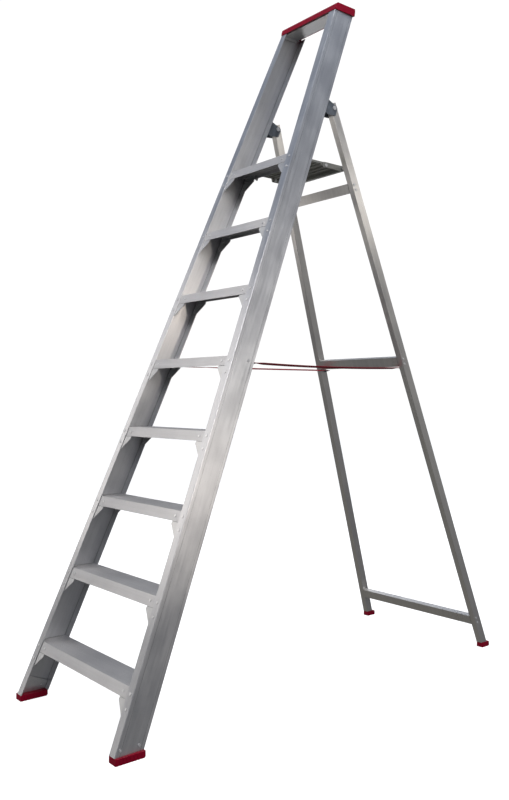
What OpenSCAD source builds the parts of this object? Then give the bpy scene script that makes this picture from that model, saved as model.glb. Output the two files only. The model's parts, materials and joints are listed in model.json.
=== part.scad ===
// Platform step ladder with a folding rear frame, a two-part folding deck and two stay straps.
// Units are millimetres. X runs across the ladder, Y from front to rear, Z up, floor at Z = 0.
// The middle of the footprint is the origin.

/* [Front frame] */
// Lean of the front frame from vertical, in degrees
front_lean = 22.92; // [22:0.01:24]
// Half width over the stiles at the floor
front_half_w = 340.6; // [330:0.1:350]
// Narrowing of each stile per mm of stile length
front_narrowing = 0.0664; // [0.06:0.0002:0.07]
// Depth of a stile from its front face to its rear face
stile_depth = 93.5; // [90:0.5:98]
// Width of each stile flange
flange_w = 32.3; // [28:0.1:36]
// Wall of the stile channel
stile_wall = 2.5; // [2:0.1:3]
// Height at which the stiles end under the top cap
stile_top = 2556; // [2540:1:2570]
// Height of the cut at the bottom of the stiles
stile_bottom = 20; // [16:1:24]

/* [Treads] */
// Rise from one tread to the next
rise = 250; // [240:1:252]
// Height of the first tread above the floor
first_tread = 198; // [190:1:210]
// Height of the front skirt of a tread
front_skirt = 33; // [30:1:36]
// Height of the rear skirt of a tread
rear_skirt = 22; // [20:1:26]
// Sheet thickness of a tread
tread_wall = 2.2; // [2:0.1:2.4]
// Reach of a gusset beyond the stile flange
gusset_reach = 38; // [30:1:44]
// Height of a gusset below the tread skirt
gusset_drop = 45; // [40:1:52]

/* [Rear frame] */
// Lean of the rear frame from vertical, in degrees
rear_lean = 18.9; // [18:0.1:20]
// Distance of the rear legs' front face from the stiles' front face, at the floor
rear_foot_y = 1774.9; // [1760:0.1:1790]
// Half width over the rear legs at the floor
rear_half_w = 339.3; // [335:0.1:342]
// Narrowing of each rear leg per mm of leg length
rear_narrowing = 0.0716; // [0.07:0.0002:0.073]
// Width of a rear leg
leg_w = 25; // [24:0.1:26]
// Depth of a rear leg
leg_d = 35; // [33:0.5:36]
// Wall of the rear legs and bars
leg_wall = 2; // [1.6:0.1:2.4]
// Height of the rear bars
bar_h = 38.5; // [34:0.5:42]
// Depth of the rear bars
bar_d = 21; // [18:0.5:24]

/* [Hinges] */
// Distance along a rear leg from the floor line to its hinge pin
leg_pivot_w = 2276; // [2270:1:2282]
// Depth of the hinge pin behind a rear leg's front face
leg_pivot_v = 14; // [12:0.5:16]
// Length of a rear leg above its hinge pin
leg_over = 20; // [16:0.5:20]
// Radius of the hinge pins
hinge_pin_r = 5; // [4:0.5:6]
// Thickness of the hinge bracket plates
bracket_t = 3; // [2.5:0.1:3]

/* [Platform] */
// Height of the deck's top face
deck_top = 1957; // [1955:1:1960]
// Half width of the front deck
front_deck_half = 145.5; // [142:0.5:146]
// Half width of the rear deck
rear_deck_half = 150; // [149:0.5:150]
// Radius of the platform pins
deck_pin_r = 4; // [3:0.5:4.5]

/* [Top cap and feet] */
// Height of the ladder over the top cap
total_h = 2580; // [2578:1:2590]
// Half length of the top cap
cap_half = 160; // [159.5:0.5:162]
// Visible height of a foot
foot_h = 20; // [16:1:24]

/* [Straps] */
// Width of a stay strap
strap_w = 20; // [18:1:22]
// Thickness of a stay strap
strap_t = 2; // [1.4:0.1:2.4]

/* [Hidden] */
tread_count = 8;
running_fit = 0.06;      // radial clearance of a turning pin
fixed_fit = 0.05;        // radial clearance of a rivet or pressed pin
gap = 0.05;              // gap between plates that lie on each other
rivet_r = 2.4;
rivet_head_r = 4.4;
rivet_head_h = 1.5;
fine = 48;               // facets asked for on small round features

front_taper = atan(front_narrowing);
rear_taper = atan(rear_narrowing);
lean_c = cos(front_lean);
lean_s = sin(front_lean);
lean_t = tan(front_lean);

front_foot_y = 7;        // front end of the sole of a front foot
rear_foot_end = 1822;    // rear end of the sole of a rear foot
mid_y = (front_foot_y + rear_foot_end) / 2;

skirt_v = stile_wall + gap;             // front skirt's outer face, behind the flange
skirt_in_v = skirt_v + tread_wall;      // front skirt's inner face
back_v = stile_depth - stile_wall - gap;
back_in_v = back_v - tread_wall;
gusset_t = tread_wall;

hinge_y = rear_foot_y + leg_pivot_v * cos(rear_lean) - leg_pivot_w * sin(rear_lean);
hinge_z = leg_pivot_v * sin(rear_lean) + leg_pivot_w * cos(rear_lean);
hinge_w = hinge_y * lean_s + hinge_z * lean_c;

deck_pivot_y = 942;      // front pivot of the deck
deck_knee_y = 1037;      // knee between the two decks
deck_end_y = 1127;       // rear pivot of the deck, between the rear legs
deck_pin_z = deck_top - 12.3;
deck_front_t = 8;        // thickness of the front deck over its ribs

function tread_top(i) = first_tread + rise * (i - 1);
function w_at(z, v) = z / lean_c + v * lean_t;
function stile_x(w) = front_half_w - front_narrowing * w;
function flange_x(w) = stile_x(w) - flange_w / cos(front_taper);
function leg_in_x(w) = rear_half_w - leg_w / cos(rear_taper) - rear_narrowing * w;
function rear_w(z, v) = z / cos(rear_lean) - v * tan(rear_lean);

// ---------- frames of reference ----------

// Puts the working frame on the middle of the footprint.
module placed() { translate([0, -mid_y, 0]) children(); }

// Both sides of a symmetric pair.
module both() { children(); mirror([1, 0, 0]) children(); }

// Local frame of the front plane: x across, y = depth behind the front face, z up the frame.
module front_plane() { rotate([-front_lean, 0, 0]) children(); }

// Local frame of the right stile's outer front edge.
module stile_frame() {
    front_plane() translate([front_half_w, 0, 0]) rotate([0, -front_taper, 0]) children();
}

// Local frame of the rear plane: x across, y = depth behind the legs' front face, z up the legs.
module rear_plane() { translate([0, rear_foot_y, 0]) rotate([rear_lean, 0, 0]) children(); }

// Local frame of the right leg's outer front edge.
module leg_frame() {
    rear_plane() translate([rear_half_w, 0, 0]) rotate([0, -rear_taper, 0]) children();
}

// Everything between two heights.
module between(low, high) {
    translate([-500, -200, low]) cube([1000, 2400, high - low]);
}

// A round bar along X from x1 to x2 at (y, z).
module x_rod(x1, x2, y, z, r) {
    translate([x1, y, z]) rotate([0, 90, 0]) cylinder(r = r, h = x2 - x1, $fn = fine);
}

// A rectangle whose four corners are rounded.
module round_rect(w, d, r) {
    translate([r, 0]) square([w - 2 * r, d]);
    translate([0, r]) square([w, d - 2 * r]);
    for (x = [r, w - r]) for (y = [r, d - r]) translate([x, y]) circle(r = r, $fn = fine);
}

// ---------- rivets ----------

// A rivet along +Z: head below 0, plates from 0 to grip, closed end above.
module rivet(grip) {
    translate([0, 0, -rivet_head_h - gap]) cylinder(r = rivet_head_r, h = rivet_head_h * 0.6, $fn = fine);
    translate([0, 0, -rivet_head_h * 0.45 - gap])
        cylinder(r = rivet_head_r + 0.5, h = rivet_head_h * 0.45, $fn = fine);
    translate([0, 0, -0.5]) cylinder(r = rivet_r, h = grip + 1, $fn = fine);
    translate([0, 0, grip + gap]) cylinder(r = rivet_r + 0.9, h = 1.2, $fn = fine);
}

module rivet_hole() { translate([0, 0, -3]) cylinder(r = rivet_r + fixed_fit, h = 14, $fn = fine); }

flange_rivet_in = 16.6;   // rivet line in from the stile's outer edge
tread_rivet_in = 60.4;    // rivet in the tread skirt, in from the stile's outer edge
upper_rivet_drop = 14.7;  // below the tread's top
lower_rivet_drop = 55.2;
skirt_rivet_drop = 16.5;
rear_rivet_drop = 12.5;   // rivet in the rear skirt

// Places along the right stile's front face: the flange rivets.
module front_flange_places(i, drop) {
    w = w_at(tread_top(i) - drop, 0);
    front_plane() translate([stile_x(w) - flange_rivet_in, 0, w]) rotate([-90, 0, 0]) children();
}

module front_skirt_places(i) {
    w = w_at(tread_top(i) - skirt_rivet_drop, skirt_v);
    front_plane() translate([stile_x(w) - tread_rivet_in, skirt_v, w]) rotate([-90, 0, 0]) children();
}

// Places along the right stile's rear face.
module rear_flange_places(i, drop) {
    w = w_at(tread_top(i) - drop, stile_depth);
    front_plane() translate([stile_x(w) - flange_rivet_in, stile_depth, w]) rotate([90, 0, 0]) children();
}

module rear_skirt_places(i) {
    w = w_at(tread_top(i) - rear_rivet_drop, back_v);
    front_plane() translate([stile_x(w) - tread_rivet_in, back_v, w]) rotate([90, 0, 0]) children();
}

// All holes that the riveted joints of one tread drill on the right side.
module tread_holes(i) {
    for (drop = [upper_rivet_drop, lower_rivet_drop]) {
        front_flange_places(i, drop) rivet_hole();
        rear_flange_places(i, drop) rivet_hole();
    }
    front_skirt_places(i) rivet_hole();
    rear_skirt_places(i) rivet_hole();
}

// ---------- stiles ----------

// Channel section: x from -flange_w to 0 (web outside), y is the depth.
module channel_section() {
    corner = 3;
    groove_d = 0.6;
    groove_w = 2;
    difference() {
        union() {
            translate([-flange_w, 0]) square([flange_w - corner, stile_depth]);
            translate([-corner, corner]) square([corner, stile_depth - 2 * corner]);
            for (y = [corner, stile_depth - corner])
                translate([-corner, y]) circle(r = corner, $fn = fine);
        }
        translate([-flange_w - 1, stile_wall])
            square([flange_w + 1 - stile_wall, stile_depth - 2 * stile_wall]);
        for (y = [13, stile_depth - 13 - groove_w])
            translate([-groove_d, y]) square([groove_d + 1, groove_w]);
    }
}

foot_rivet_places = [[10.6, 46.2], [71, 70.5]];   // depth and height on the web
strap_web_place = [66.3, 1310.7];                 // rivet on the web by the strap

// A place on the outside of the right stile's web, with +Z pointing inwards.
module web_place(v, w) {
    stile_frame() translate([0, v, w / cos(front_taper)]) rotate([0, -90, 0]) children();
}

module right_stile_solid() {
    difference() {
        intersection() {
            stile_frame() translate([0, 0, -60]) linear_extrude(3000) channel_section();
            between(stile_bottom, stile_top);
        }
        for (i = [1:tread_count]) tread_holes(i);
        for (p = foot_rivet_places) web_place(p[0], p[1]) rivet_hole();
        web_place(strap_web_place[0], strap_web_place[1]) rivet_hole();
        hinge_rivet_places() rivet_hole();
        deck_rivet_places() rivet_hole();
        strap_clip_place() rivet_hole();
    }
}

module left_stile() { color("silver") placed() mirror([1, 0, 0]) right_stile_solid(); }
module right_stile() { color("silver") placed() right_stile_solid(); }

// ---------- treads ----------

// Section of a tread in the Y-Z plane. The origin is where its top meets the front plane.
module tread_section() {
    front_y = skirt_v / lean_c;
    rear_y = back_v / lean_c;
    t_y = tread_wall / lean_c;
    ridge_h = 1;
    rib_depth = 8;
    plate_low = -ridge_h - tread_wall;
    polygon([[front_y, 0], [front_y - front_skirt * lean_t, -front_skirt],
             [front_y + t_y - front_skirt * lean_t, -front_skirt],
             [front_y + t_y + plate_low * lean_t, plate_low],
             [rear_y - t_y + plate_low * lean_t, plate_low],
             [rear_y - t_y - rear_skirt * lean_t, -rear_skirt],
             [rear_y - rear_skirt * lean_t, -rear_skirt], [rear_y, 0], [rear_y - t_y, 0],
             [rear_y - t_y - ridge_h * lean_t, -ridge_h],
             [front_y + t_y - ridge_h * lean_t, -ridge_h], [front_y + t_y, 0]]);
    for (y = [8:5.5:92]) translate([y, plate_low + 0.5]) square([2.6, ridge_h + tread_wall - 0.5]);
    for (y = [20:18:74]) translate([y, plate_low - rib_depth]) square([2, rib_depth + 0.5]);
}

function tread_half(i) =
    stile_x(w_at(tread_top(i), stile_depth)) - stile_wall / cos(front_taper) - 0.3;

module tread(i) {
    color("silver") placed() difference() {
        translate([0, tread_top(i) * lean_t, tread_top(i)]) rotate([90, 0, 90])
            linear_extrude(2 * tread_half(i), center = true) tread_section();
        both() tread_holes(i);
    }
}

module tread_1() { tread(1); }
module tread_2() { tread(2); }
module tread_3() { tread(3); }
module tread_4() { tread(4); }
module tread_5() { tread(5); }
module tread_6() { tread(6); }
module tread_7() { tread(7); }
module tread_8() { tread(8); }

// ---------- gussets ----------

gusset_under = 24;        // how far a gusset reaches under the flange

// A plate in the front plane: outline in x and w, from depth v1 to v2.
module front_plate(v1, v2, outline) {
    front_plane() translate([0, v2, 0]) rotate([90, 0, 0]) linear_extrude(v2 - v1) polygon(outline);
}

// Joggled gusset: upper plate behind the skirt, lower plate in line with it. low_w is the
// lower edge of the skirt, up the frame; sign is 1 at the front and -1 at the rear.
module gusset(top_w, low_w, outer_v, sign) {
    joggle = 4;
    x_in = flange_x(low_w) - gusset_reach;
    x_out = flange_x(low_w) + gusset_under;
    foot_w = low_w - gusset_drop / lean_c;
    near = outer_v;
    mid = outer_v + sign * (gusset_t + gap);
    far = outer_v + sign * (2 * gusset_t + gap);
    front_plate(min(mid, far), max(mid, far),
        [[x_in, low_w - joggle], [x_out, low_w - joggle], [x_out, top_w], [x_in, top_w]]);
    front_plate(min(near, far), max(near, far),
        [[x_in, low_w - joggle], [x_out, low_w - joggle], [x_out, low_w], [x_in, low_w]]);
    front_plate(min(near, mid - sign * gap), max(near, mid - sign * gap),
        [[x_in, low_w], [x_in, low_w - joggle - 4], [flange_x(foot_w) - 2, foot_w],
         [x_out, foot_w], [x_out, low_w]]);
}

module front_gussets() {
    color("silver") placed() both() for (i = [1:tread_count]) difference() {
        gusset(w_at(tread_top(i) - 5, skirt_in_v), w_at(tread_top(i) - front_skirt - 1.6, skirt_v),
               skirt_v, 1);
        tread_holes(i);
    }
}

module rear_gussets() {
    color("silver") placed() both() for (i = [1:tread_count]) difference() {
        gusset(w_at(tread_top(i) - 6, back_in_v - gusset_t),
               w_at(tread_top(i) - rear_skirt - 1.2, back_in_v), back_v, -1);
        tread_holes(i);
        strap_clip_place() rivet_hole();
    }
}

module front_rivets() {
    color("gainsboro") placed() both() for (i = [1:tread_count]) {
        front_flange_places(i, upper_rivet_drop) rivet(stile_wall + 2 * (tread_wall + gap));
        front_flange_places(i, lower_rivet_drop) rivet(stile_wall + tread_wall + gap);
        front_skirt_places(i) rivet(tread_wall + gap + gusset_t);
    }
}

module rear_rivets() {
    color("gainsboro") placed() both() for (i = [1:tread_count]) {
        rear_flange_places(i, upper_rivet_drop) rivet(stile_wall + 2 * (tread_wall + gap));
        rear_flange_places(i, lower_rivet_drop) rivet(stile_wall + tread_wall + gap);
        rear_skirt_places(i) rivet(tread_wall + gap + gusset_t);
    }
}

// ---------- top tread and top cap ----------

cap_low = 2552;           // lower edge of the cap
cap_wall = 2.5;
cap_top_t = 3;            // thickness of the cap's top
top_box_low = 2553.5;     // flat underside of the top tread

module top_tread() {
    half = stile_x(w_at(stile_top, stile_depth)) - stile_wall / cos(front_taper) - 0.5;
    front_y = top_box_low * lean_t + 12.5;
    depth = 74;
    height = total_h - cap_top_t - gap - top_box_low;
    lug_t = 2;
    lug_drop = 12;
    color("silver") placed() {
        difference() {
            translate([-half, front_y, top_box_low]) cube([2 * half, depth, height]);
            translate([-half - 1, front_y + 2, top_box_low + 2])
                cube([2 * half + 2, depth - 4, height - 4]);
        }
        both() translate([half - lug_t, front_y + 2, top_box_low - lug_drop])
            cube([lug_t, depth - 14, lug_drop + 0.5]);
    }
}

// Outside shape of the cap, as a solid.
module cap_block() {
    front_y = cap_low * lean_t - 2.2;
    rear_y = 1192;
    skirt_y = rear_y - 7.5;
    intersection() {
        rotate([90, 0, 90]) linear_extrude(2 * cap_half, center = true) polygon([
            [front_y, cap_low], [skirt_y, cap_low], [skirt_y, cap_low + 6], [rear_y - 2, cap_low + 20],
            [rear_y, total_h - 4], [rear_y - 4, total_h],
            [front_y + (total_h - cap_low) * lean_t + 3, total_h],
            [front_y + (total_h - 4 - cap_low) * lean_t, total_h - 4]]);
        translate([-cap_half, front_y, cap_low - 1]) linear_extrude(total_h - cap_low + 2)
            round_rect(2 * cap_half, rear_y - front_y, 9);
    }
}

module top_cap() {
    front_y = cap_low * lean_t - 2.2;
    inner_half = cap_half - cap_wall;
    bay_half = stile_x(w_at(stile_top, stile_depth)) - 4;
    rear_skirt_y = 1180;
    hollow_y = 1182.4;        // rear face of the hollow
    tray_d = 1.5;
    color("crimson") placed() difference() {
        cap_block();
        // hollow for the stile ends and the top tread
        rotate([90, 0, 90]) linear_extrude(2 * inner_half, center = true) polygon([
            [front_y + cap_wall - 0.9, cap_low - 1], [hollow_y, cap_low - 1],
            [hollow_y, stile_top + 0.5], [hollow_y - 1.4, total_h - cap_top_t],
            [front_y + cap_wall + 11.5, total_h - cap_top_t],
            [front_y + cap_wall + 1, stile_top + 0.5]]);
        // the rear skirt stops short between the stiles
        translate([-bay_half, rear_skirt_y, cap_low - 1]) cube([2 * bay_half, 30, 13]);
        // shallow tool tray in the top
        translate([-cap_half + 14, front_y + 28, total_h - tray_d]) linear_extrude(tray_d + 1)
            round_rect(2 * cap_half - 28, 72, 8);
    }
}

// ---------- front feet ----------

foot_in_x = 305.5;        // inner side of a front foot at the floor
foot_out_x = 347.5;       // outer side
foot_rear_y = 109.5;

tongue_t = 3.4;           // tongue of the foot inside the web
tongue_x = -stile_wall - 0.1 - tongue_t;
plate_x = tongue_x - gap - 2;

module right_front_foot_solid() {
    toe = 3;
    difference() {
        union() {
            // sole block, its lower rear edge sloped
            intersection() {
                translate([foot_in_x, front_foot_y, 0]) linear_extrude(foot_h - gap)
                    round_rect(foot_out_x - foot_in_x, foot_rear_y - front_foot_y, 4);
                rotate([90, 0, 90]) linear_extrude(400) polygon([
                    [front_foot_y, 0], [foot_rear_y - 2 * toe, 0], [foot_rear_y, toe + 2],
                    [foot_rear_y, foot_h], [front_foot_y + 1.5, foot_h], [front_foot_y, toe]]);
            }
            // tongue riveted between the web and the inner plate
            intersection() {
                stile_frame() translate([tongue_x, stile_wall + 2, 0])
                    cube([tongue_t, stile_depth - 2 * stile_wall - 4, 86]);
                between(foot_h - 1, 200);
            }
        }
        for (p = foot_rivet_places) web_place(p[0], p[1]) rivet_hole();
        // grip grooves round the sole
        for (y = [18:12:98]) translate([foot_out_x - 1, y, -1]) cube([3, 3, foot_h - 4]);
        for (y = [18:12:98]) translate([foot_in_x - 2, y, -1]) cube([3, 3, foot_h - 4]);
    }
}

// Plates inside the stile ends, over the feet's tongues.
module foot_plates() {
    color("silver") placed() both() difference() {
        intersection() {
            stile_frame() translate([plate_x, stile_wall + 1, 0])
                cube([2, stile_depth - 2 * stile_wall - 2, 90]);
            between(foot_h + gap, 200);
        }
        for (p = foot_rivet_places) web_place(p[0], p[1]) rivet_hole();
    }
}

module left_front_foot() { color("crimson") placed() mirror([1, 0, 0]) right_front_foot_solid(); }
module right_front_foot() { color("crimson") placed() right_front_foot_solid(); }

module foot_rivets() {
    color("gainsboro") placed() both() {
        for (p = foot_rivet_places) web_place(p[0], p[1]) rivet(-plate_x);
        web_place(strap_web_place[0], strap_web_place[1]) rivet(stile_wall);
    }
}

// ---------- rear hinges ----------

bracket_down = 42;        // bracket's lower end below the pin, along the stile
bracket_up = 13.5;        // bracket's upper end above the pin
bracket_v = stile_depth + gap;
bracket_reach = 50;       // depth of the cheeks behind the stile
cheek_out_x = -3.7;       // inner face of the outer cheek, in the stile's frame
cheek_in_x = -31.6;       // outer face of the inner cheek

module hinge_cheek(x) {
    v1 = bracket_v;
    v2 = stile_depth + bracket_reach;
    w0 = hinge_w / cos(front_taper);
    round_r = 10;
    stile_frame() translate([x, 0, 0]) rotate([90, 0, 90]) linear_extrude(bracket_t) {
        polygon([[v1, w0 - bracket_down], [v1 + 14, w0 - bracket_down], [v2, w0 - 24],
                 [v2, w0 + bracket_up - round_r], [v2 - round_r, w0 + bracket_up],
                 [v1, w0 + bracket_up]]);
        translate([v2 - round_r, w0 + bracket_up - round_r]) circle(r = round_r, $fn = fine);
    }
}

module right_hinge_bracket_solid() {
    w0 = hinge_w / cos(front_taper);
    difference() {
        union() {
            hinge_cheek(cheek_out_x);
            hinge_cheek(cheek_in_x - bracket_t);
            stile_frame() translate([cheek_in_x - bracket_t, bracket_v, w0 - bracket_down])
                cube([cheek_out_x - cheek_in_x + 2 * bracket_t, bracket_t, bracket_down + bracket_up]);
        }
        x_rod(100, 250, hinge_y, hinge_z, hinge_pin_r + fixed_fit);
        hinge_rivet_places() rivet_hole();
    }
}

module hinge_rivet_places() {
    w0 = hinge_w / cos(front_taper);
    for (dw = [-30, 2])
        stile_frame() translate([-17.5, bracket_v + bracket_t, w0 + dw]) rotate([90, 0, 0]) children();
}

module left_hinge_bracket() { color("dimgray") placed() mirror([1, 0, 0]) right_hinge_bracket_solid(); }
module right_hinge_bracket() { color("dimgray") placed() right_hinge_bracket_solid(); }

module hinge_pins() {
    in_x = 146.2;
    out_x = 181.6;
    head = 2.6;
    head_r = 8;
    color("gainsboro") placed() both() {
        x_rod(in_x - 1, out_x + 1, hinge_y, hinge_z, hinge_pin_r);
        x_rod(in_x - head, in_x, hinge_y, hinge_z, head_r);
        x_rod(out_x, out_x + head, hinge_y, hinge_z, head_r);
    }
}

module hinge_rivets() {
    color("gainsboro") placed() both() hinge_rivet_places() rivet(bracket_t + stile_wall + gap);
}

// ---------- platform ----------

ear_r = 7;                // round end of the deck's lugs
ear_t = 3;
deck_cheek_x = 152;       // inner face of a platform bracket's cheek
deck_bracket_w = 2146;    // lower edge of the platform bracket, up the frame
deck_bracket_h = 44;
deck_plate_t = 2.5;       // platform bracket's plate on the stile

module deck_rivet_places() {
    for (dw = [17, 36]) front_plane()
        translate([stile_x(deck_bracket_w) - flange_rivet_in, bracket_v + deck_plate_t,
                   deck_bracket_w + dw])
            rotate([90, 0, 0]) children();
}

module platform_brackets() {
    cheek_t = 3;
    cheek_v = 120;
    cheek_h = 27;
    plate_w = 36;
    color("silver") placed() both() difference() {
        union() {
            front_plane() translate([deck_cheek_x, bracket_v, deck_bracket_w])
                cube([plate_w, deck_plate_t, deck_bracket_h]);
            front_plane() translate([deck_cheek_x, bracket_v, deck_bracket_w])
                cube([cheek_t, cheek_v - bracket_v, cheek_h]);
        }
        x_rod(100, 200, deck_pivot_y, deck_pin_z, deck_pin_r + fixed_fit);
        deck_rivet_places() rivet_hole();
    }
}

// Pins of the front pivot, and the rivets that hold the brackets.
module platform_pins() {
    spacer_r = 6.5;
    color("gainsboro") placed() both() {
        x_rod(141.5, 156.8, deck_pivot_y, deck_pin_z, deck_pin_r);
        x_rod(front_deck_half + 0.4, deck_cheek_x - 0.1, deck_pivot_y, deck_pin_z, spacer_r);
        x_rod(155.1, 156.8, deck_pivot_y, deck_pin_z, spacer_r);
        x_rod(139.6, 142.1, deck_pivot_y, deck_pin_z, spacer_r);
        deck_rivet_places() rivet(deck_plate_t + stile_wall + gap);
    }
}

deck_front_y = 934;       // front edge of the front deck
deck_split_y = 1027;      // rear edge of the front deck
rear_deck_y = 1030;       // front edge of the rear deck's plate
rear_deck_end = 1133.5;

module front_deck() {
    low = deck_top - deck_front_t;
    skin = 3;
    ear_x = front_deck_half - ear_t;
    lug_top = low + 1 - deck_pin_z;
    color("silver") placed() difference() {
        union() {
            translate([-front_deck_half, deck_front_y, deck_top - skin])
                cube([2 * front_deck_half, deck_split_y - deck_front_y, skin - 0.8]);
            // grip ridges on top
            for (y = [deck_front_y + 1.5:6:deck_split_y - 3])
                translate([-front_deck_half, y, deck_top - skin + 1])
                    cube([2 * front_deck_half, 3, skin - 1]);
            // ribs and closed edges below
            for (y = [deck_front_y, deck_front_y + 22.5, deck_front_y + 45.5, deck_front_y + 68,
                      deck_split_y - 2.5])
                translate([-front_deck_half, y, low]) cube([2 * front_deck_half, 2.5, deck_front_t - 2]);
            both() {
                translate([ear_x, deck_front_y, low])
                    cube([ear_t, deck_split_y - deck_front_y, deck_front_t - 2]);
                for (y = [deck_pivot_y, deck_knee_y])
                    x_rod(ear_x, ear_x + ear_t, y, deck_pin_z, ear_r);
                translate([ear_x, deck_pivot_y - 5, deck_pin_z]) cube([ear_t, 10, lug_top]);
                // arm from the plate's end to the knee
                translate([ear_x, deck_split_y - 12, deck_pin_z - 1]) cube([ear_t, 16, 8]);
            }
        }
        x_rod(-160, 160, deck_pivot_y, deck_pin_z, deck_pin_r + running_fit);
        x_rod(-160, 160, deck_knee_y, deck_pin_z, deck_pin_r + fixed_fit);
    }
}

module rear_deck() {
    low = deck_pin_z - 7.5;
    skin = 3;
    flange_t = 2.5;
    flange_y = 1020;
    flange_in = rear_deck_half - flange_t;
    color("silver") placed() difference() {
        union() {
            translate([-rear_deck_half, rear_deck_y, deck_top - skin])
                cube([2 * rear_deck_half, rear_deck_end - rear_deck_y, skin - 0.8]);
            for (y = [rear_deck_y + 1.5:6:rear_deck_end - 3])
                translate([-rear_deck_half, y, deck_top - skin + 1])
                    cube([2 * rear_deck_half, 3, skin - 1]);
            both() {
                // side flange, its front corners rounded
                translate([flange_in, 0, 0]) rotate([90, 0, 90]) linear_extrude(flange_t) {
                    translate([flange_y, low]) round_rect(60, deck_top - low - 0.8, 6);
                    translate([flange_y + 40, low])
                        square([rear_deck_end - flange_y - 40, deck_top - low - 0.8]);
                }
            }
            // rear skirt with an inward lip
            translate([-rear_deck_half, rear_deck_end - 2.5, low])
                cube([2 * rear_deck_half, 2.5, deck_top - low - 1]);
            translate([-rear_deck_half, rear_deck_end - 12, low]) cube([2 * rear_deck_half, 12, 2]);
            // stiffening ribs
            for (y = [rear_deck_y + 28, rear_deck_y + 58])
                translate([-rear_deck_half + 1, y, deck_top - 9]) cube([2 * rear_deck_half - 2, 2.5, 7]);
        }
        x_rod(-160, 160, deck_knee_y, deck_pin_z, deck_pin_r + running_fit);
    }
}

module knee_pins() {
    washer_r = 6.5;
    in_x = front_deck_half - ear_t;
    color("gainsboro") placed() both() {
        x_rod(in_x - 1.5, rear_deck_half + 1, deck_knee_y, deck_pin_z, deck_pin_r);
        x_rod(in_x - 2, in_x - 0.1, deck_knee_y, deck_pin_z, washer_r);
        x_rod(front_deck_half + 0.1, rear_deck_half - 2.9, deck_knee_y, deck_pin_z, washer_r);
        x_rod(rear_deck_half + 0.4, rear_deck_half + 2.4, deck_knee_y, deck_pin_z, washer_r);
    }
}

// ---------- rear frame ----------

module leg_section() {
    difference() {
        translate([-leg_w, 0]) round_rect(leg_w, leg_d, 2);
        translate([-leg_w + leg_wall, leg_wall]) square([leg_w - 2 * leg_wall, leg_d - 2 * leg_wall]);
    }
}

leg_top_w = leg_pivot_w + leg_over;

module right_leg_solid() {
    difference() {
        intersection() {
            leg_frame() translate([0, 0, -40])
                linear_extrude(leg_top_w / cos(rear_taper) + 40) leg_section();
            between(foot_h, 2500);
        }
        x_rod(100, 250, hinge_y, hinge_z, hinge_pin_r + running_fit);
        x_rod(140, 175, deck_end_y, deck_pin_z, deck_pin_r + 1 + fixed_fit);
        rear_anchor_hole();
        for (z = bar_heights) bar_rivet_places(z) rivet_hole();
    }
}

module left_rear_leg() { color("silver") placed() mirror([1, 0, 0]) right_leg_solid(); }
module right_rear_leg() { color("silver") placed() right_leg_solid(); }

bar_heights = [1866, 1197.5, 115];    // middles of the three rear bars

// A box tube between the legs, flush with their front faces, its ends cut to the legs.
module rear_bar(z) {
    w1 = rear_w(z, 0) - bar_h / 2;
    w2 = rear_w(z, 0) + bar_h / 2;
    x1 = leg_in_x(w1) - 0.1;
    x2 = leg_in_x(w2) - 0.1;
    color("silver") placed() difference() {
        rear_plane() translate([0, bar_d, 0]) rotate([90, 0, 0]) linear_extrude(bar_d)
            polygon([[-x1, w1], [x1, w1], [x2, w2], [-x2, w2]]);
        rear_plane() translate([-400, leg_wall, w1 + leg_wall])
            cube([800, bar_d - 2 * leg_wall, bar_h - 2 * leg_wall]);
    }
}

module rear_top_bar() { rear_bar(bar_heights[0]); }
module rear_middle_bar() { rear_bar(bar_heights[1]); }
module rear_bottom_bar() { rear_bar(bar_heights[2]); }

// Two rivets at each bar end, driven through the leg's outer face.
module bar_rivet_places(z) {
    for (dw = [-10, 10])
        leg_frame() translate([0, bar_d / 2, (rear_w(z, 0) + dw) / cos(rear_taper)])
            rotate([0, -90, 0]) children();
}

module bar_rivets() {
    color("gainsboro") placed() both() for (z = bar_heights) bar_rivet_places(z) rivet(leg_wall);
}

module right_rear_foot_solid() {
    in_x = 311.5;
    width = 29;
    front_y = 1770;
    toe = 3;
    plug_gap = 0.3;
    union() {
        intersection() {
            translate([in_x, front_y, 0]) linear_extrude(foot_h - gap)
                round_rect(width, rear_foot_end - front_y, 4);
            rotate([90, 0, 90]) linear_extrude(400) polygon([
                [front_y + 2, 0], [rear_foot_end - 2 * toe, 0], [rear_foot_end, toe + 3],
                [rear_foot_end - 5, foot_h], [front_y, foot_h], [front_y, toe]]);
        }
        intersection() {
            leg_frame() translate([-leg_w + leg_wall + plug_gap, leg_wall + plug_gap, -20])
                cube([leg_w - 2 * (leg_wall + plug_gap), leg_d - 2 * (leg_wall + plug_gap), 76]);
            between(foot_h - 1, 120);
        }
    }
}

module left_rear_foot() { color("crimson") placed() mirror([1, 0, 0]) right_rear_foot_solid(); }
module right_rear_foot() { color("crimson") placed() right_rear_foot_solid(); }

// Studs on the rear legs that carry the end of the rear deck.
module deck_stub_pins() {
    leg_x = leg_in_x(rear_w(deck_pin_z, 0));
    r = deck_pin_r + 1;
    color("gainsboro") placed() both() {
        x_rod(rear_deck_half + 0.6, leg_x + 3.5, deck_end_y, deck_pin_z, r);
        x_rod(leg_x - 4.2, leg_x - 1.6, deck_end_y, deck_pin_z, r + 3);
    }
}

// ---------- stay straps ----------

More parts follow.
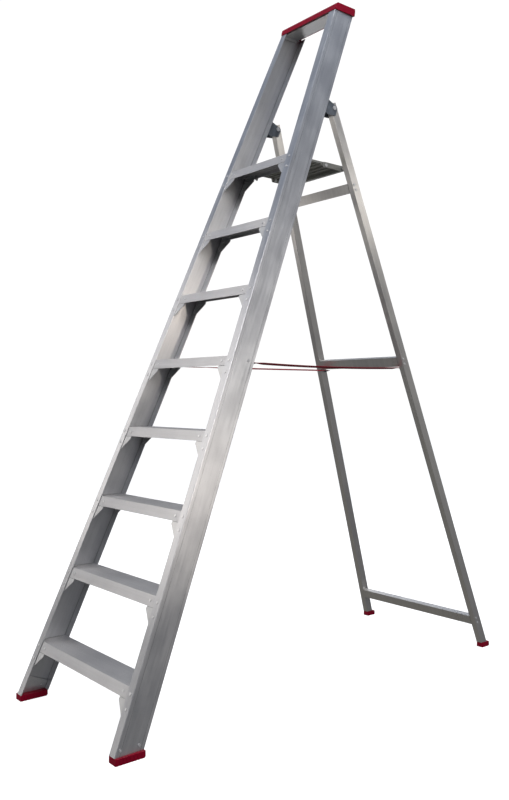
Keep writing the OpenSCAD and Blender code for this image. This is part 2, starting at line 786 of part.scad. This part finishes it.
strap_z = 1175.5;                // height of a strap's middle
strap_front = [238, 600];        // x and y of the front end's middle
strap_rear = [212.8, 1408];      // x and y of the rear end's middle
strap_len = strap_rear[1] - strap_front[1];
strap_rivet_y = 607;             // rivet through the front end
strap_rivet_r = 2.4;
anchor_y = 1399;                 // rivet through the rear end, over the stud
under_strap_z = strap_z - strap_t / 2 - gap;
clip_t = 1.5;
clip_v = bracket_v + clip_t;
clip_z = 1165;                   // height of the clip's rivet
clip_rivet_x = 243.5;
stud_r = 3;
stud_z = under_strap_z - stud_r; // top of the stud is level with the paddle's

module strap_line() {
    turn = atan((strap_front[0] - strap_rear[0]) / (strap_rear[1] - strap_front[1]));
    translate([strap_front[0], strap_front[1], strap_z]) rotate([0, 0, turn]) children();
}

// Rivet through a strap and the tab under it, at x and y.
module strap_rivet(x, y, tab_t, wide = 0) {
    head_h = 1.2;
    low = under_strap_z - tab_t - gap;
    high = strap_z + strap_t / 2 + gap;
    translate([x, y, low - head_h])
        cylinder(r = strap_rivet_r + wide, h = high - low + 2 * head_h, $fn = fine);
    if (wide == 0) {
        translate([x, y, low - head_h]) cylinder(r = 4, h = head_h, $fn = fine);
        translate([x, y, high]) cylinder(r = 4.5, h = head_h, $fn = fine);
    }
}

module right_strap_solid() {
    difference() {
        strap_line() translate([-strap_w / 2, 0, -strap_t / 2]) cube([strap_w, strap_len, strap_t]);
        strap_rivet(strap_front[0], strap_rivet_y, clip_t, 0.1);
        strap_rivet(strap_rear[0], anchor_y, clip_t, 0.1);
    }
}

module left_strap() { color("firebrick") placed() mirror([1, 0, 0]) right_strap_solid(); }
module right_strap() { color("firebrick") placed() right_strap_solid(); }

// Rivet place of the strap clip on the stile's rear flange.
module strap_clip_place() {
    front_plane() translate([clip_rivet_x, clip_v, w_at(clip_z, stile_depth)])
        rotate([90, 0, 0]) children();
}

// Angle clips on the stiles with their rivets, and the rivets through the strap ends.
module front_strap_anchors() {
    tab_y = 598.3;
    tab_end = 614;
    tab_x = 230;
    plate_x = clip_rivet_x - 9.3;
    plate_w = w_at(clip_z, stile_depth) - 10;
    color("dimgray") placed() both() {
        difference() {
            union() {
                front_plane() translate([plate_x, bracket_v, plate_w]) cube([15, clip_t, 21]);
                translate([tab_x, tab_y, under_strap_z - clip_t])
                    cube([16, tab_end - tab_y, clip_t]);
            }
            strap_clip_place() rivet_hole();
            strap_rivet(strap_front[0], strap_rivet_y, clip_t, 0.05);
        }
        strap_clip_place() rivet(clip_t + stile_wall + gusset_t + 3 * gap);
        strap_rivet(strap_front[0], strap_rivet_y, clip_t);
    }
}

module rear_anchor_hole() { x_rod(200, 240, anchor_y, stud_z, stud_r + fixed_fit); }

// Studs in the rear legs, each with a flat round end under its strap.
module rear_strap_anchors() {
    inner = leg_in_x(rear_w(stud_z, 0));
    paddle_r = 8;
    color("dimgray") placed() both() {
        difference() {
            union() {
                x_rod(strap_rear[0] + 5, inner + 5.5, anchor_y, stud_z, stud_r);
                translate([strap_rear[0], anchor_y, under_strap_z - clip_t])
                    cylinder(r = paddle_r, h = clip_t, $fn = fine);
            }
            strap_rivet(strap_rear[0], anchor_y, clip_t, 0.05);
        }
        x_rod(inner + 4.2, inner + 5.5, anchor_y, stud_z, 4.2);
        strap_rivet(strap_rear[0], anchor_y, clip_t);
    }
}

left_stile();
right_stile();
tread_1();
tread_2();
tread_3();
tread_4();
tread_5();
tread_6();
tread_7();
tread_8();
front_gussets();
rear_gussets();
front_rivets();
rear_rivets();
top_tread();
top_cap();
left_front_foot();
right_front_foot();
foot_plates();
foot_rivets();
left_hinge_bracket();
right_hinge_bracket();
hinge_pins();
hinge_rivets();
platform_brackets();
platform_pins();
front_deck();
rear_deck();
knee_pins();
left_rear_leg();
right_rear_leg();
rear_top_bar();
rear_middle_bar();
rear_bottom_bar();
bar_rivets();
left_rear_foot();
right_rear_foot();
deck_stub_pins();
left_strap();
right_strap();
front_strap_anchors();
rear_strap_anchors();
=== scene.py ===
"""Looks of the platform step ladder: materials, woven stay straps, studio and camera."""
import bpy
import bmesh
import json
import math
from mathutils import Euler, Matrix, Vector


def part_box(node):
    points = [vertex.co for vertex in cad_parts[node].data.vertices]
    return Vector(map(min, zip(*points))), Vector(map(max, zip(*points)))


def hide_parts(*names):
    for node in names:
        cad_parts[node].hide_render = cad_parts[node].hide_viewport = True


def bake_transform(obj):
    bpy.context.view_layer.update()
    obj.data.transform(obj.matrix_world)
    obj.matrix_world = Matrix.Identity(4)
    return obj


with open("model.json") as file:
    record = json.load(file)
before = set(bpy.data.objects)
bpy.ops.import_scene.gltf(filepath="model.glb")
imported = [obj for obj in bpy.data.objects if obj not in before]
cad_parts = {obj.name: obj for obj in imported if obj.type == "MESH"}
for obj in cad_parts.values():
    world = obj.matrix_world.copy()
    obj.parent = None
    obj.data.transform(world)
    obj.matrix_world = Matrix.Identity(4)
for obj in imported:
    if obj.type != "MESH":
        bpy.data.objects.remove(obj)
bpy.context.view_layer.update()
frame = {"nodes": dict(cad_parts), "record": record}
nodes = frame["nodes"]

# Leans of the two frames from vertical, which the die lines of their extrusions follow
FRONT_LEAN = math.radians(22.92)
REAR_LEAN = math.radians(18.9)


# ---------- materials ----------

class Graph:
    """Small helper that builds a node tree."""

    def __init__(self, name):
        self.mat = bpy.data.materials.new(name)
        self.mat.use_nodes = True
        self.tree = self.mat.node_tree
        self.tree.nodes.clear()
        self.out = self.add("ShaderNodeOutputMaterial")
        self.bsdf = self.add("ShaderNodeBsdfPrincipled")
        self.link(self.bsdf, "BSDF", self.out, "Surface")
        self.coord = self.add("ShaderNodeTexCoord")

    def add(self, kind, **values):
        """Adds a node; each value is a property of it or, failing that, one of its inputs."""
        node = self.tree.nodes.new(kind)
        for key, value in values.items():
            if hasattr(node, key):
                setattr(node, key, value)
            else:
                node.inputs[key].default_value = value
        return node

    def link(self, a, a_out, b, b_in):
        self.tree.links.new(a.outputs[a_out], b.inputs[b_in])

    def grain(self, rotation=(0, 0, 0), scale=(1, 1, 1)):
        """Object coordinates turned by rotation and stretched by scale."""
        turn = self.add("ShaderNodeMapping")
        turn.inputs["Rotation"].default_value = rotation
        self.link(self.coord, "Object", turn, "Vector")
        stretch = self.add("ShaderNodeMapping")
        stretch.inputs["Scale"].default_value = scale
        self.link(turn, "Vector", stretch, "Vector")
        return stretch

    def noise(self, vector, scale, detail=3.0, rough=0.5):
        n = self.add("ShaderNodeTexNoise", Scale=scale, Detail=detail, Roughness=rough)
        self.link(vector, "Vector", n, "Vector")
        return n

    def ramp(self, source, out, stops):
        r = self.add("ShaderNodeValToRGB")
        while len(r.color_ramp.elements) < len(stops):
            r.color_ramp.elements.new(0.5)
        for e, (pos, col) in zip(r.color_ramp.elements, stops):
            e.position = pos
            e.color = (*col, 1.0)
        self.link(source, out, r, "Fac")
        return r

    def span(self, source, out, low, high, frm=(0.3, 0.7)):
        """Maps a 0..1 value to low..high."""
        m = self.add("ShaderNodeMapRange")
        m.inputs["From Min"].default_value = frm[0]
        m.inputs["From Max"].default_value = frm[1]
        m.inputs["To Min"].default_value = low
        m.inputs["To Max"].default_value = high
        self.link(source, out, m, "Value")
        return m

    def math(self, op, a, a_out, b, b_out):
        m = self.add("ShaderNodeMath", operation=op)
        self.tree.links.new(a.outputs[a_out], m.inputs[0])
        self.tree.links.new(b.outputs[b_out], m.inputs[1])
        return m

    def mix(self, fac, fac_out, a, b, blend="MIX"):
        """Colour mix; a and b are (node, output) or a colour."""
        m = self.add("ShaderNodeMix", data_type="RGBA", blend_type=blend)
        if fac is None:
            m.inputs[0].default_value = fac_out
        else:
            self.tree.links.new(fac.outputs[fac_out], m.inputs[0])
        for slot, src in ((6, a), (7, b)):
            if isinstance(src, tuple) and not isinstance(src[0], (int, float)):
                self.tree.links.new(src[0].outputs[src[1]], m.inputs[slot])
            else:
                m.inputs[slot].default_value = (*src, 1.0)
        return m

    def painted_corner_shade(self, colour, colour_out, reach, depth):
        """Darkens a colour in corners and round rivet heads as painted shade, by how enclosed each point
        is.
        """
        near = self.add("ShaderNodeAmbientOcclusion", samples=6)
        near.inputs["Distance"].default_value = reach
        # painted shade: the colour is multiplied down where the occlusion is high
        corner_shade = self.span(near, "AO", depth, 1.0, (0.35, 0.92))
        return self.mix(None, 1.0, (colour, colour_out), (corner_shade, "Result"), "MULTIPLY")

    def brushed(self, rotation, amount):
        """Stretches the gloss across the die lines, which run along local Z turned by rotation."""
        along = Vector((0, 0, 1))
        along.rotate(Euler(rotation).to_matrix().inverted())
        line = self.add("ShaderNodeCombineXYZ")
        for i in range(3):
            line.inputs[i].default_value = along[i]
        turn = self.add("ShaderNodeVectorTransform", vector_type="VECTOR", convert_from="OBJECT",
                        convert_to="WORLD")
        self.link(line, "Vector", turn, "Vector")
        self.link(turn, "Vector", self.bsdf, "Tangent")
        self.bsdf.inputs["Anisotropic"].default_value = amount
        self.bsdf.inputs["Anisotropic Rotation"].default_value = 0.25

    def edge_wear_and_highlight(self, radius, onset, strength):
        """Rises to strength on edges that are sharper than radius; on aluminium this is a painted edge
        highlight, on lacquer the edges that handling rubs.
        """
        bevel = self.add("ShaderNodeBevel", samples=4)
        bevel.inputs["Radius"].default_value = radius
        face = self.add("ShaderNodeNewGeometry")
        dot = self.add("ShaderNodeVectorMath", operation="DOT_PRODUCT")
        self.tree.links.new(bevel.outputs[0], dot.inputs[0])
        self.tree.links.new(face.outputs["Normal"], dot.inputs[1])
        return self.span(dot, "Value", 0.0, strength, (onset, 0.80))

    def bump(self, height, out, strength, distance, chain=None):
        b = self.add("ShaderNodeBump")
        b.inputs["Strength"].default_value = strength
        b.inputs["Distance"].default_value = distance
        self.link(height, out, b, "Height")
        if chain is not None:
            self.link(chain, "Normal", b, "Normal")
        return b


def aluminium(name, base, rotation, rough, metallic, streak, edge_highlight, grit=0.0, brush=0.8, corner_shade=0.45):
    """Extruded aluminium: die lines along local Z turned by rotation, streaks, smudges, painted highlight
    on the edges.

    A low value of the last argument paints darker shade into the corners.
    """
    g = Graph(name)
    die = g.noise(g.grain(rotation, (1.0, 1.0, 0.006)), 1500.0, 2.0, 0.6)
    streaks = g.noise(g.grain(rotation, (1.0, 1.0, 0.02)), 90.0, 3.0, 0.55)
    blotch = g.noise(g.grain(), 7.0, 4.0, 0.6)
    spots = g.noise(g.grain(), 160.0, 2.0, 0.7)
    dark = tuple(c * (1.0 - streak) for c in base)
    light = tuple(min(1.0, c * (1.0 + streak)) for c in base)
    body = g.ramp(streaks, "Fac", [(0.3, dark), (0.7, light)])
    oxide = g.ramp(blotch, "Fac", [(0.35, (0.90, 0.90, 0.91)), (0.65, (1.0, 1.0, 1.0))])
    colour = g.mix(None, 1.0, (body, "Color"), (oxide, "Color"), "MULTIPLY")
    speck = g.ramp(spots, "Fac", [(0.28, (0.86, 0.86, 0.87)), (0.36, (1.0, 1.0, 1.0))])
    colour = g.mix(None, 0.7, (colour, 2), (speck, "Color"), "MULTIPLY")
    # painted highlight: sharp edges lightened towards near-white
    colour = g.mix(g.edge_wear_and_highlight(0.0022, 0.995, edge_highlight), "Result", (colour, 2), (0.95, 0.96, 0.98))
    # painted shade in corners and round rivets, from occlusion
    colour = g.painted_corner_shade(colour, 2, 0.004, corner_shade)
    g.link(colour, 2, g.bsdf, "Base Color")
    along = g.span(streaks, "Fac", rough - 0.05, rough + 0.06)
    smudge = g.span(blotch, "Fac", -0.04, 0.05)
    g.link(g.math("ADD", along, "Result", smudge, "Result"), 0, g.bsdf, "Roughness")
    relief = g.bump(die, "Fac", 0.25, 0.00012)
    relief = g.bump(streaks, "Fac", 0.15, 0.0003, relief)
    if grit > 0:
        relief = g.bump(g.noise(g.grain(), 700.0, 2.0, 0.7), "Fac", grit, 0.0006, relief)
    g.link(relief, "Normal", g.bsdf, "Normal")
    g.bsdf.inputs["Metallic"].default_value = metallic
    g.brushed(rotation, brush)
    return g.mat


def steel(name, base, rough=0.28):
    """Bright rivet and pin metal with fine scratches and painted shade where it meets other parts."""
    g = Graph(name)
    fine = g.noise(g.grain((0.4, 0.3, 0.2), (1, 1, 1)), 900.0, 3.0, 0.6)
    wide = g.noise(g.grain(), 60.0, 3.0, 0.6)
    colour = g.ramp(wide, "Fac", [(0.3, tuple(c * 0.82 for c in base)), (0.7, base)])
    # painted shade: darker where the rivet heads meet the plates
    colour = g.painted_corner_shade(colour, "Color", 0.002, 0.7)
    g.link(colour, 2, g.bsdf, "Base Color")
    r = g.span(fine, "Fac", rough - 0.06, rough + 0.12)
    g.link(r, "Result", g.bsdf, "Roughness")
    g.link(g.bump(fine, "Fac", 0.3, 0.0001), "Normal", g.bsdf, "Normal")
    g.bsdf.inputs["Metallic"].default_value = 0.6
    return g.mat


def painted(name, base, rough=0.42):
    """Dark lacquered sheet: orange-peel bump and paler rubbed edges."""
    g = Graph(name)
    peel = g.noise(g.grain(), 420.0, 3.0, 0.55)
    wide = g.noise(g.grain(), 35.0, 4.0, 0.6)
    dark = tuple(c * 0.7 for c in base)
    light = tuple(c * 1.25 for c in base)
    colour = g.ramp(wide, "Fac", [(0.3, dark), (0.7, light)])
    full = g.mix(g.edge_wear_and_highlight(0.0015, 0.99, 0.6), "Result", (colour, "Color"), (0.42, 0.44, 0.48))
    g.link(full, 2, g.bsdf, "Base Color")
    g.link(g.span(wide, "Fac", rough - 0.08, rough + 0.1), "Result", g.bsdf, "Roughness")
    g.link(g.bump(peel, "Fac", 0.25, 0.0003), "Normal", g.bsdf, "Normal")
    g.bsdf.inputs["Metallic"].default_value = 0.55
    return g.mat


def moulded(name, base, rough, scuff):
    """Injection-moulded plastic: fine spark texture, slight tone changes and pale scuffs."""
    g = Graph(name)
    spark = g.noise(g.grain(), 1100.0, 3.0, 0.6)
    wide = g.noise(g.grain(), 18.0, 4.0, 0.6)
    scratch = g.noise(g.grain((0.3, 0.9, 0.4), (1, 0.05, 1)), 260.0, 3.0, 0.6)
    colour = g.ramp(wide, "Fac", [(0.3, tuple(c * 0.82 for c in base)), (0.7, base)])
    marks = g.ramp(scratch, "Fac", [(0.66, (0, 0, 0)), (0.74, (scuff, scuff, scuff))])
    pale = (min(1, base[0] * 1.3), base[1] + 0.05, base[2] + 0.06)
    full = g.mix(marks, "Color", (colour, "Color"), pale)
    g.link(full, 2, g.bsdf, "Base Color")
    g.link(g.span(wide, "Fac", rough - 0.06, rough + 0.1), "Result", g.bsdf, "Roughness")
    g.link(g.bump(spark, "Fac", 0.3, 0.00025), "Normal", g.bsdf, "Normal")
    g.bsdf.inputs["Metallic"].default_value = 0.0
    g.bsdf.inputs["Specular IOR Level"].default_value = 0.12
    return g.mat


def webbing(name, base):
    """Polyester webbing: diagonal weave along UV, which is in metres, with painted shade between the
    yarns.
    """
    g = Graph(name)
    across = g.add("ShaderNodeTexWave", wave_type="BANDS", bands_direction="DIAGONAL")
    across.inputs["Scale"].default_value = 260.0
    across.inputs["Distortion"].default_value = 0.4
    g.link(g.coord, "UV", across, "Vector")
    ribs = g.add("ShaderNodeTexWave", wave_type="BANDS", bands_direction="X")
    ribs.inputs["Scale"].default_value = 330.0
    g.link(g.coord, "UV", ribs, "Vector")
    fuzz = g.noise(g.grain(), 900.0, 3.0, 0.7)
    # painted shade: the grooves between the yarns, low in the weave, get a darker colour
    dark = tuple(c * 0.45 for c in base)
    weave = g.math("MULTIPLY", across, "Fac", ribs, "Fac")
    colour = g.ramp(weave, 0, [(0.05, dark), (0.5, base)])
    tone = g.ramp(fuzz, "Fac", [(0.3, (0.8, 0.8, 0.8)), (0.7, (1, 1, 1))])
    full = g.mix(None, 1.0, (colour, "Color"), (tone, "Color"), "MULTIPLY")
    g.link(full, 2, g.bsdf, "Base Color")
    g.link(g.span(fuzz, "Fac", 0.62, 0.85), "Result", g.bsdf, "Roughness")
    b = g.bump(weave, 0, 0.6, 0.0006)
    g.link(g.bump(fuzz, "Fac", 0.2, 0.0003, b), "Normal", g.bsdf, "Normal")
    g.bsdf.inputs["Sheen Weight"].default_value = 0.05
    g.bsdf.inputs["Specular IOR Level"].default_value = 0.15
    g.bsdf.inputs["Metallic"].default_value = 0.0
    return g.mat


# Turns that bring local Z onto the die lines of each kind of piece
ALONG_STILE = (FRONT_LEAN, 0, 0)
ALONG_LEG = (-REAR_LEAN, 0, 0)
ALONG_X = (0, math.radians(90), 0)

# Each aluminium gets a painted edge highlight and painted shade in its corners, of the strengths given.
MATS = {
    "stile": aluminium("stile_extrusion", (0.68, 0.685, 0.70), ALONG_STILE,
                       rough=0.40, metallic=0.92, streak=0.05, edge_highlight=0.3),
    "tread": aluminium("tread_extrusion", (0.66, 0.66, 0.67), ALONG_X,
                       rough=0.45, metallic=0.88, streak=0.06, edge_highlight=0.3, grit=0.25, brush=0.5, corner_shade=0.85),
    "gusset": aluminium("gusset_sheet", (0.68, 0.685, 0.69), ALONG_X,
                        rough=0.40, metallic=0.88, streak=0.04, edge_highlight=0.5, brush=0.2),
    "rear_tube": aluminium("rear_tube", (0.72, 0.705, 0.68), ALONG_LEG,
                           rough=0.33, metallic=0.90, streak=0.05, edge_highlight=0.12),
    # painted shade: the deck's aluminium gets a much darker base colour than the rest, for the shade it
    # sits in
    "deck": aluminium("deck_extrusion_painted_shade", (0.42, 0.425, 0.40), ALONG_X,
                      rough=0.52, metallic=0.85, streak=0.06, edge_highlight=0.2, grit=0.2, brush=0.4),
    "rivet": steel("rivet_steel", (0.90, 0.90, 0.91)),
    "bracket": painted("bracket_lacquer", (0.17, 0.19, 0.22)),
    "red_plastic": moulded("red_moulding", (0.31, 0.0008, 0.022), rough=0.5, scuff=0.12),
    "webbing": webbing("stay_webbing", (0.44, 0.004, 0.030)),
}

slots = {p["node"]: p["material_slot"] for p in frame["record"]["subparts"]}
for name, obj in nodes.items():
    obj.data.materials.clear()
    obj.data.materials.append(MATS[slots[name]])


# ---------- rounded mouldings ----------

def soften(obj, width):
    """Rounds the sharp edges of a moulded piece."""
    mod = obj.modifiers.new("rounding", "BEVEL")
    mod.width = width
    mod.segments = 3
    mod.limit_method = "ANGLE"
    mod.angle_limit = math.radians(40)
    mod.harden_normals = True


ROUNDING = 0.0012
for name in ("top_cap", "left_front_foot", "right_front_foot", "left_rear_foot", "right_rear_foot"):
    soften(nodes[name], ROUNDING)


# ---------- stay straps ----------

# Metres; side 1 is the near strap at +X, side -1 the far one
STRAP_W = 0.020
STRAP_HALF_T = 0.0011
STRAP_STEPS = 120
STRAP_SAG = {1: 0.007, -1: 0.0005}
TAB_LEN = 0.018                      # a tab holds each end flat over this length
TAB_EASE = 0.040                     # and the strap is free this much further on
STRAP_TILT = math.radians(15)
TILT_FROM = {1: -0.15, -1: 0.16}     # share of the length at which the tilt starts
TILT_OVER = 0.15                     # share of the length that it grows over


def strap_path(side):
    """Centre line of a strap: flat on its tabs, sagging and slightly tilted between them."""
    low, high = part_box("right_strap")
    half = STRAP_W / 2
    front = Vector((high.x - half, low.y, (low.z + high.z) / 2))
    rear = Vector((low.x + half, high.y, (low.z + high.z) / 2))
    out = []
    for i in range(STRAP_STEPS + 1):
        t = i / STRAP_STEPS
        p = front.lerp(rear, t)
        run = min(p.y - front.y, rear.y - p.y)
        free = min(1.0, max(0.0, (run - TAB_LEN) / TAB_EASE))
        free = free * free * (3 - 2 * free)
        p.z -= STRAP_SAG[side] * 4 * t * (1 - t) * free
        tilt = STRAP_TILT * free * min(1.0, max(0.0, (t - TILT_FROM[side]) / TILT_OVER))
        across = Vector((side * math.cos(tilt), 0, math.sin(tilt)))
        out.append((Vector((side * p.x, p.y, p.z)), across))
    return out


def make_strap(name, side):
    """A woven band with thick selvedges."""
    half_w, half_t = STRAP_W / 2, STRAP_HALF_T
    section = [(-1.0, 0.35), (-0.94, 0.95), (-0.84, 1.0), (-0.78, 0.8), (-0.3, 0.86), (0.3, 0.86),
               (0.78, 0.8), (0.84, 1.0), (0.94, 0.95), (1.0, 0.35)]
    ring = section + [(a, -b) for a, b in reversed(section)]
    bm = bmesh.new()
    uv_layer = bm.loops.layers.uv.new("UVMap")
    rows = []
    path = strap_path(side)
    for k, (p, wdir) in enumerate(path):
        ahead = path[min(k + 1, len(path) - 1)][0] - path[max(k - 1, 0)][0]
        ahead.normalize()
        w = (wdir - ahead * wdir.dot(ahead)).normalized()
        n = ahead.cross(w).normalized()
        rows.append([bm.verts.new(p + w * (a * half_w) + n * (b * half_t)) for a, b in ring])
    run = 0.0
    for k in range(len(rows) - 1):
        step = (path[k + 1][0] - path[k][0]).length
        for i in range(len(ring)):
            j = (i + 1) % len(ring)
            f = bm.faces.new((rows[k][i], rows[k][j], rows[k + 1][j], rows[k + 1][i]))
            f.smooth = True
            here, there = ring[i][0] * half_w, ring[j][0] * half_w
            us = (here, there, there, here)
            vs = (run, run, run + step, run + step)
            for loop, u, v in zip(f.loops, us, vs):
                loop[uv_layer].uv = (u, v)
        run += step
    bm.faces.new(rows[0][::-1])
    bm.faces.new(rows[-1])
    bmesh.ops.recalc_face_normals(bm, faces=bm.faces)
    mesh = bpy.data.meshes.new(name)
    bm.to_mesh(mesh)
    bm.free()
    obj = bpy.data.objects.new(name, mesh)
    bpy.context.scene.collection.objects.link(obj)
    mesh.materials.append(MATS["webbing"])
    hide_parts("right_strap" if side > 0 else "left_strap")
    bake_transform(obj)


make_strap("right_stay_strap", 1)
make_strap("left_stay_strap", -1)


# ---------- studio ----------

def softbox(name, place, target, size, power, colour, only):
    """An area light; where only names nodes, flags keep its light off everything else."""
    data = bpy.data.lights.new(name, "AREA")
    data.shape = "RECTANGLE"
    data.size, data.size_y = size
    data.energy = power
    data.color = colour
    obj = bpy.data.objects.new(name, data)
    bpy.context.scene.collection.objects.link(obj)
    obj.location = place
    obj.rotation_euler = (Vector(target) - Vector(place)).to_track_quat("-Z", "Y").to_euler()
    obj.visible_camera = False
    if only:
        group = bpy.data.collections.new(name + "_receivers")
        for node in only:
            group.objects.link(nodes[node])
        obj.light_linking.receiver_collection = group


def make_floor():
    """White paper floor that glows like a light table, so it reads as plain white."""
    mesh = bpy.data.meshes.new("studio_floor")
    half = 40.0
    corners = [(-half, -half, 0), (half, -half, 0), (half, half, 0), (-half, half, 0)]
    mesh.from_pydata(corners, [], [(0, 1, 2, 3)])
    obj = bpy.data.objects.new("studio_floor", mesh)
    bpy.context.scene.collection.objects.link(obj)
    obj.visible_glossy = False
    obj.visible_diffuse = False
    g = Graph("studio_paper")
    tone = g.noise(g.grain(), 0.7, 3.0, 0.5)
    paper = g.ramp(tone, "Fac", [(0.3, (0.50, 0.50, 0.50)), (0.7, (0.54, 0.54, 0.54))])
    g.link(paper, "Color", g.bsdf, "Base Color")
    g.bsdf.inputs["Roughness"].default_value = 0.9
    g.bsdf.inputs["Specular IOR Level"].default_value = 0.1
    g.bsdf.inputs["Emission Color"].default_value = (1.0, 1.0, 1.0, 1.0)
    g.bsdf.inputs["Emission Strength"].default_value = 0.92
    mesh.materials.append(g.mat)


def make_world():
    """Plain white to the eye; the light comes from a soft gradient, brightest overhead."""
    world = bpy.data.worlds.new("studio")
    bpy.context.scene.world = world
    world.use_nodes = True
    t = world.node_tree
    t.nodes.clear()
    out = t.nodes.new("ShaderNodeOutputWorld")
    coord = t.nodes.new("ShaderNodeTexCoord")
    split = t.nodes.new("ShaderNodeSeparateXYZ")
    t.links.new(coord.outputs["Generated"], split.inputs[0])
    height = t.nodes.new("ShaderNodeMapRange")
    height.inputs["From Min"].default_value = -1.0
    height.inputs["From Max"].default_value = 1.0
    t.links.new(split.outputs["Z"], height.inputs["Value"])
    ramp = t.nodes.new("ShaderNodeValToRGB")
    while len(ramp.color_ramp.elements) < len(SKY):
        ramp.color_ramp.elements.new(0.5)
    for e, (pos, col) in zip(ramp.color_ramp.elements, SKY):
        e.position = (pos + 1) / 2
        e.color = (*col, 1.0)
    t.links.new(height.outputs["Result"], ramp.inputs["Fac"])
    lit = t.nodes.new("ShaderNodeBackground")
    lit.inputs["Strength"].default_value = 1.0
    t.links.new(ramp.outputs["Color"], lit.inputs["Color"])
    seen = t.nodes.new("ShaderNodeBackground")
    seen.inputs["Color"].default_value = (1.0, 1.0, 1.0, 1.0)
    seen.inputs["Strength"].default_value = 1.05
    path = t.nodes.new("ShaderNodeLightPath")
    pick = t.nodes.new("ShaderNodeMixShader")
    t.links.new(path.outputs["Is Camera Ray"], pick.inputs[0])
    t.links.new(lit.outputs[0], pick.inputs[1])
    t.links.new(seen.outputs[0], pick.inputs[2])
    t.links.new(pick.outputs[0], out.inputs["Surface"])


# Height of the direction, from -1 below to 1 above, and its light
SKY = [(-1.0, (0.18, 0.17, 0.16)), (-0.45, (0.17, 0.17, 0.16)), (-0.30, (0.10, 0.105, 0.125)),
       (-0.05, (0.23, 0.23, 0.23)), (0.12, (0.29, 0.29, 0.29)), (0.35, (0.21, 0.22, 0.24)),
       (0.62, (0.20, 0.24, 0.32)), (1.0, (0.40, 0.43, 0.48))]
make_floor()
make_world()
REAR_TUBES = ("left_rear_leg", "right_rear_leg", "rear_top_bar", "rear_middle_bar", "rear_bottom_bar")

# name, place, target, size, power, colour and the nodes it is kept to
LAMPS = [
    ("side_box", (3.4, -0.5, 1.80), (0.3, -0.2, 1.4), (0.9, 0.7), 14, (1.0, 0.94, 0.87), ()),
    ("near_box", (3.0, -0.26, 1.36), (0.25, -0.35, 1.0), (0.45, 0.6), 11, (1.0, 0.90, 0.80),
     ("right_stile",)),
    ("rear_box", (2.5, 2.7, 2.95), (0.2, 0.3, 1.7), (0.8, 0.6), 4.5, (1.0, 0.95, 0.89), REAR_TUBES),
    ("far_box", (2.65, 1.59, 1.34), (-0.25, -0.34, 1.25), (0.3, 0.3), 7, (1.0, 0.88, 0.76),
     ("left_stile",)),
    ("side_fill", (3.2, -0.9, 3.1), (0.3, -0.2, 1.4), (1.6, 1.2), 38, (1.0, 0.96, 0.92), ()),
    ("front_box", (-2.0, -3.3, 2.75), (0.2, -0.5, 1.0), (3.4, 2.6), 52, (1.0, 0.94, 0.87), ()),
    ("low_box", (-3.2, -3.6, 0.35), (0.2, 0.4, 1.4), (2.0, 0.6), 6, (1.0, 0.95, 0.90), ()),
    ("back_box", (-3.2, 3.6, 1.9), (0.0, 0.0, 0.6), (2.4, 1.2), 32, (0.98, 0.98, 1.0), ()),
    ("top_box", (0.4, 0.8, 5.0), (0, 0, 1.0), (2.5, 2.5), 80, (0.96, 0.98, 1.0), ()),
]
for lamp in LAMPS:
    softbox(*lamp)
bpy.context.scene.view_settings.view_transform = "Standard"


# ---------- camera ----------

LENS_MM = 37.18
CAMERA_PLACE = (2.4226, -2.0964, 1.0629)
CAMERA_DIP = 0.291                   # degrees below level
CAMERA_HEADING = 50.624              # degrees to the left of +Y

cam_data = bpy.data.cameras.new("photo_view")
cam = bpy.data.objects.new("photo_view", cam_data)
bpy.context.scene.collection.objects.link(cam)
cam_data.sensor_width = 36.0
cam_data.lens = LENS_MM
cam_data.clip_end = 100.0
cam_data.dof.use_dof = False
cam.location = CAMERA_PLACE
cam.rotation_euler = (math.radians(90 - CAMERA_DIP), 0, math.radians(CAMERA_HEADING))
bpy.context.scene.camera = cam
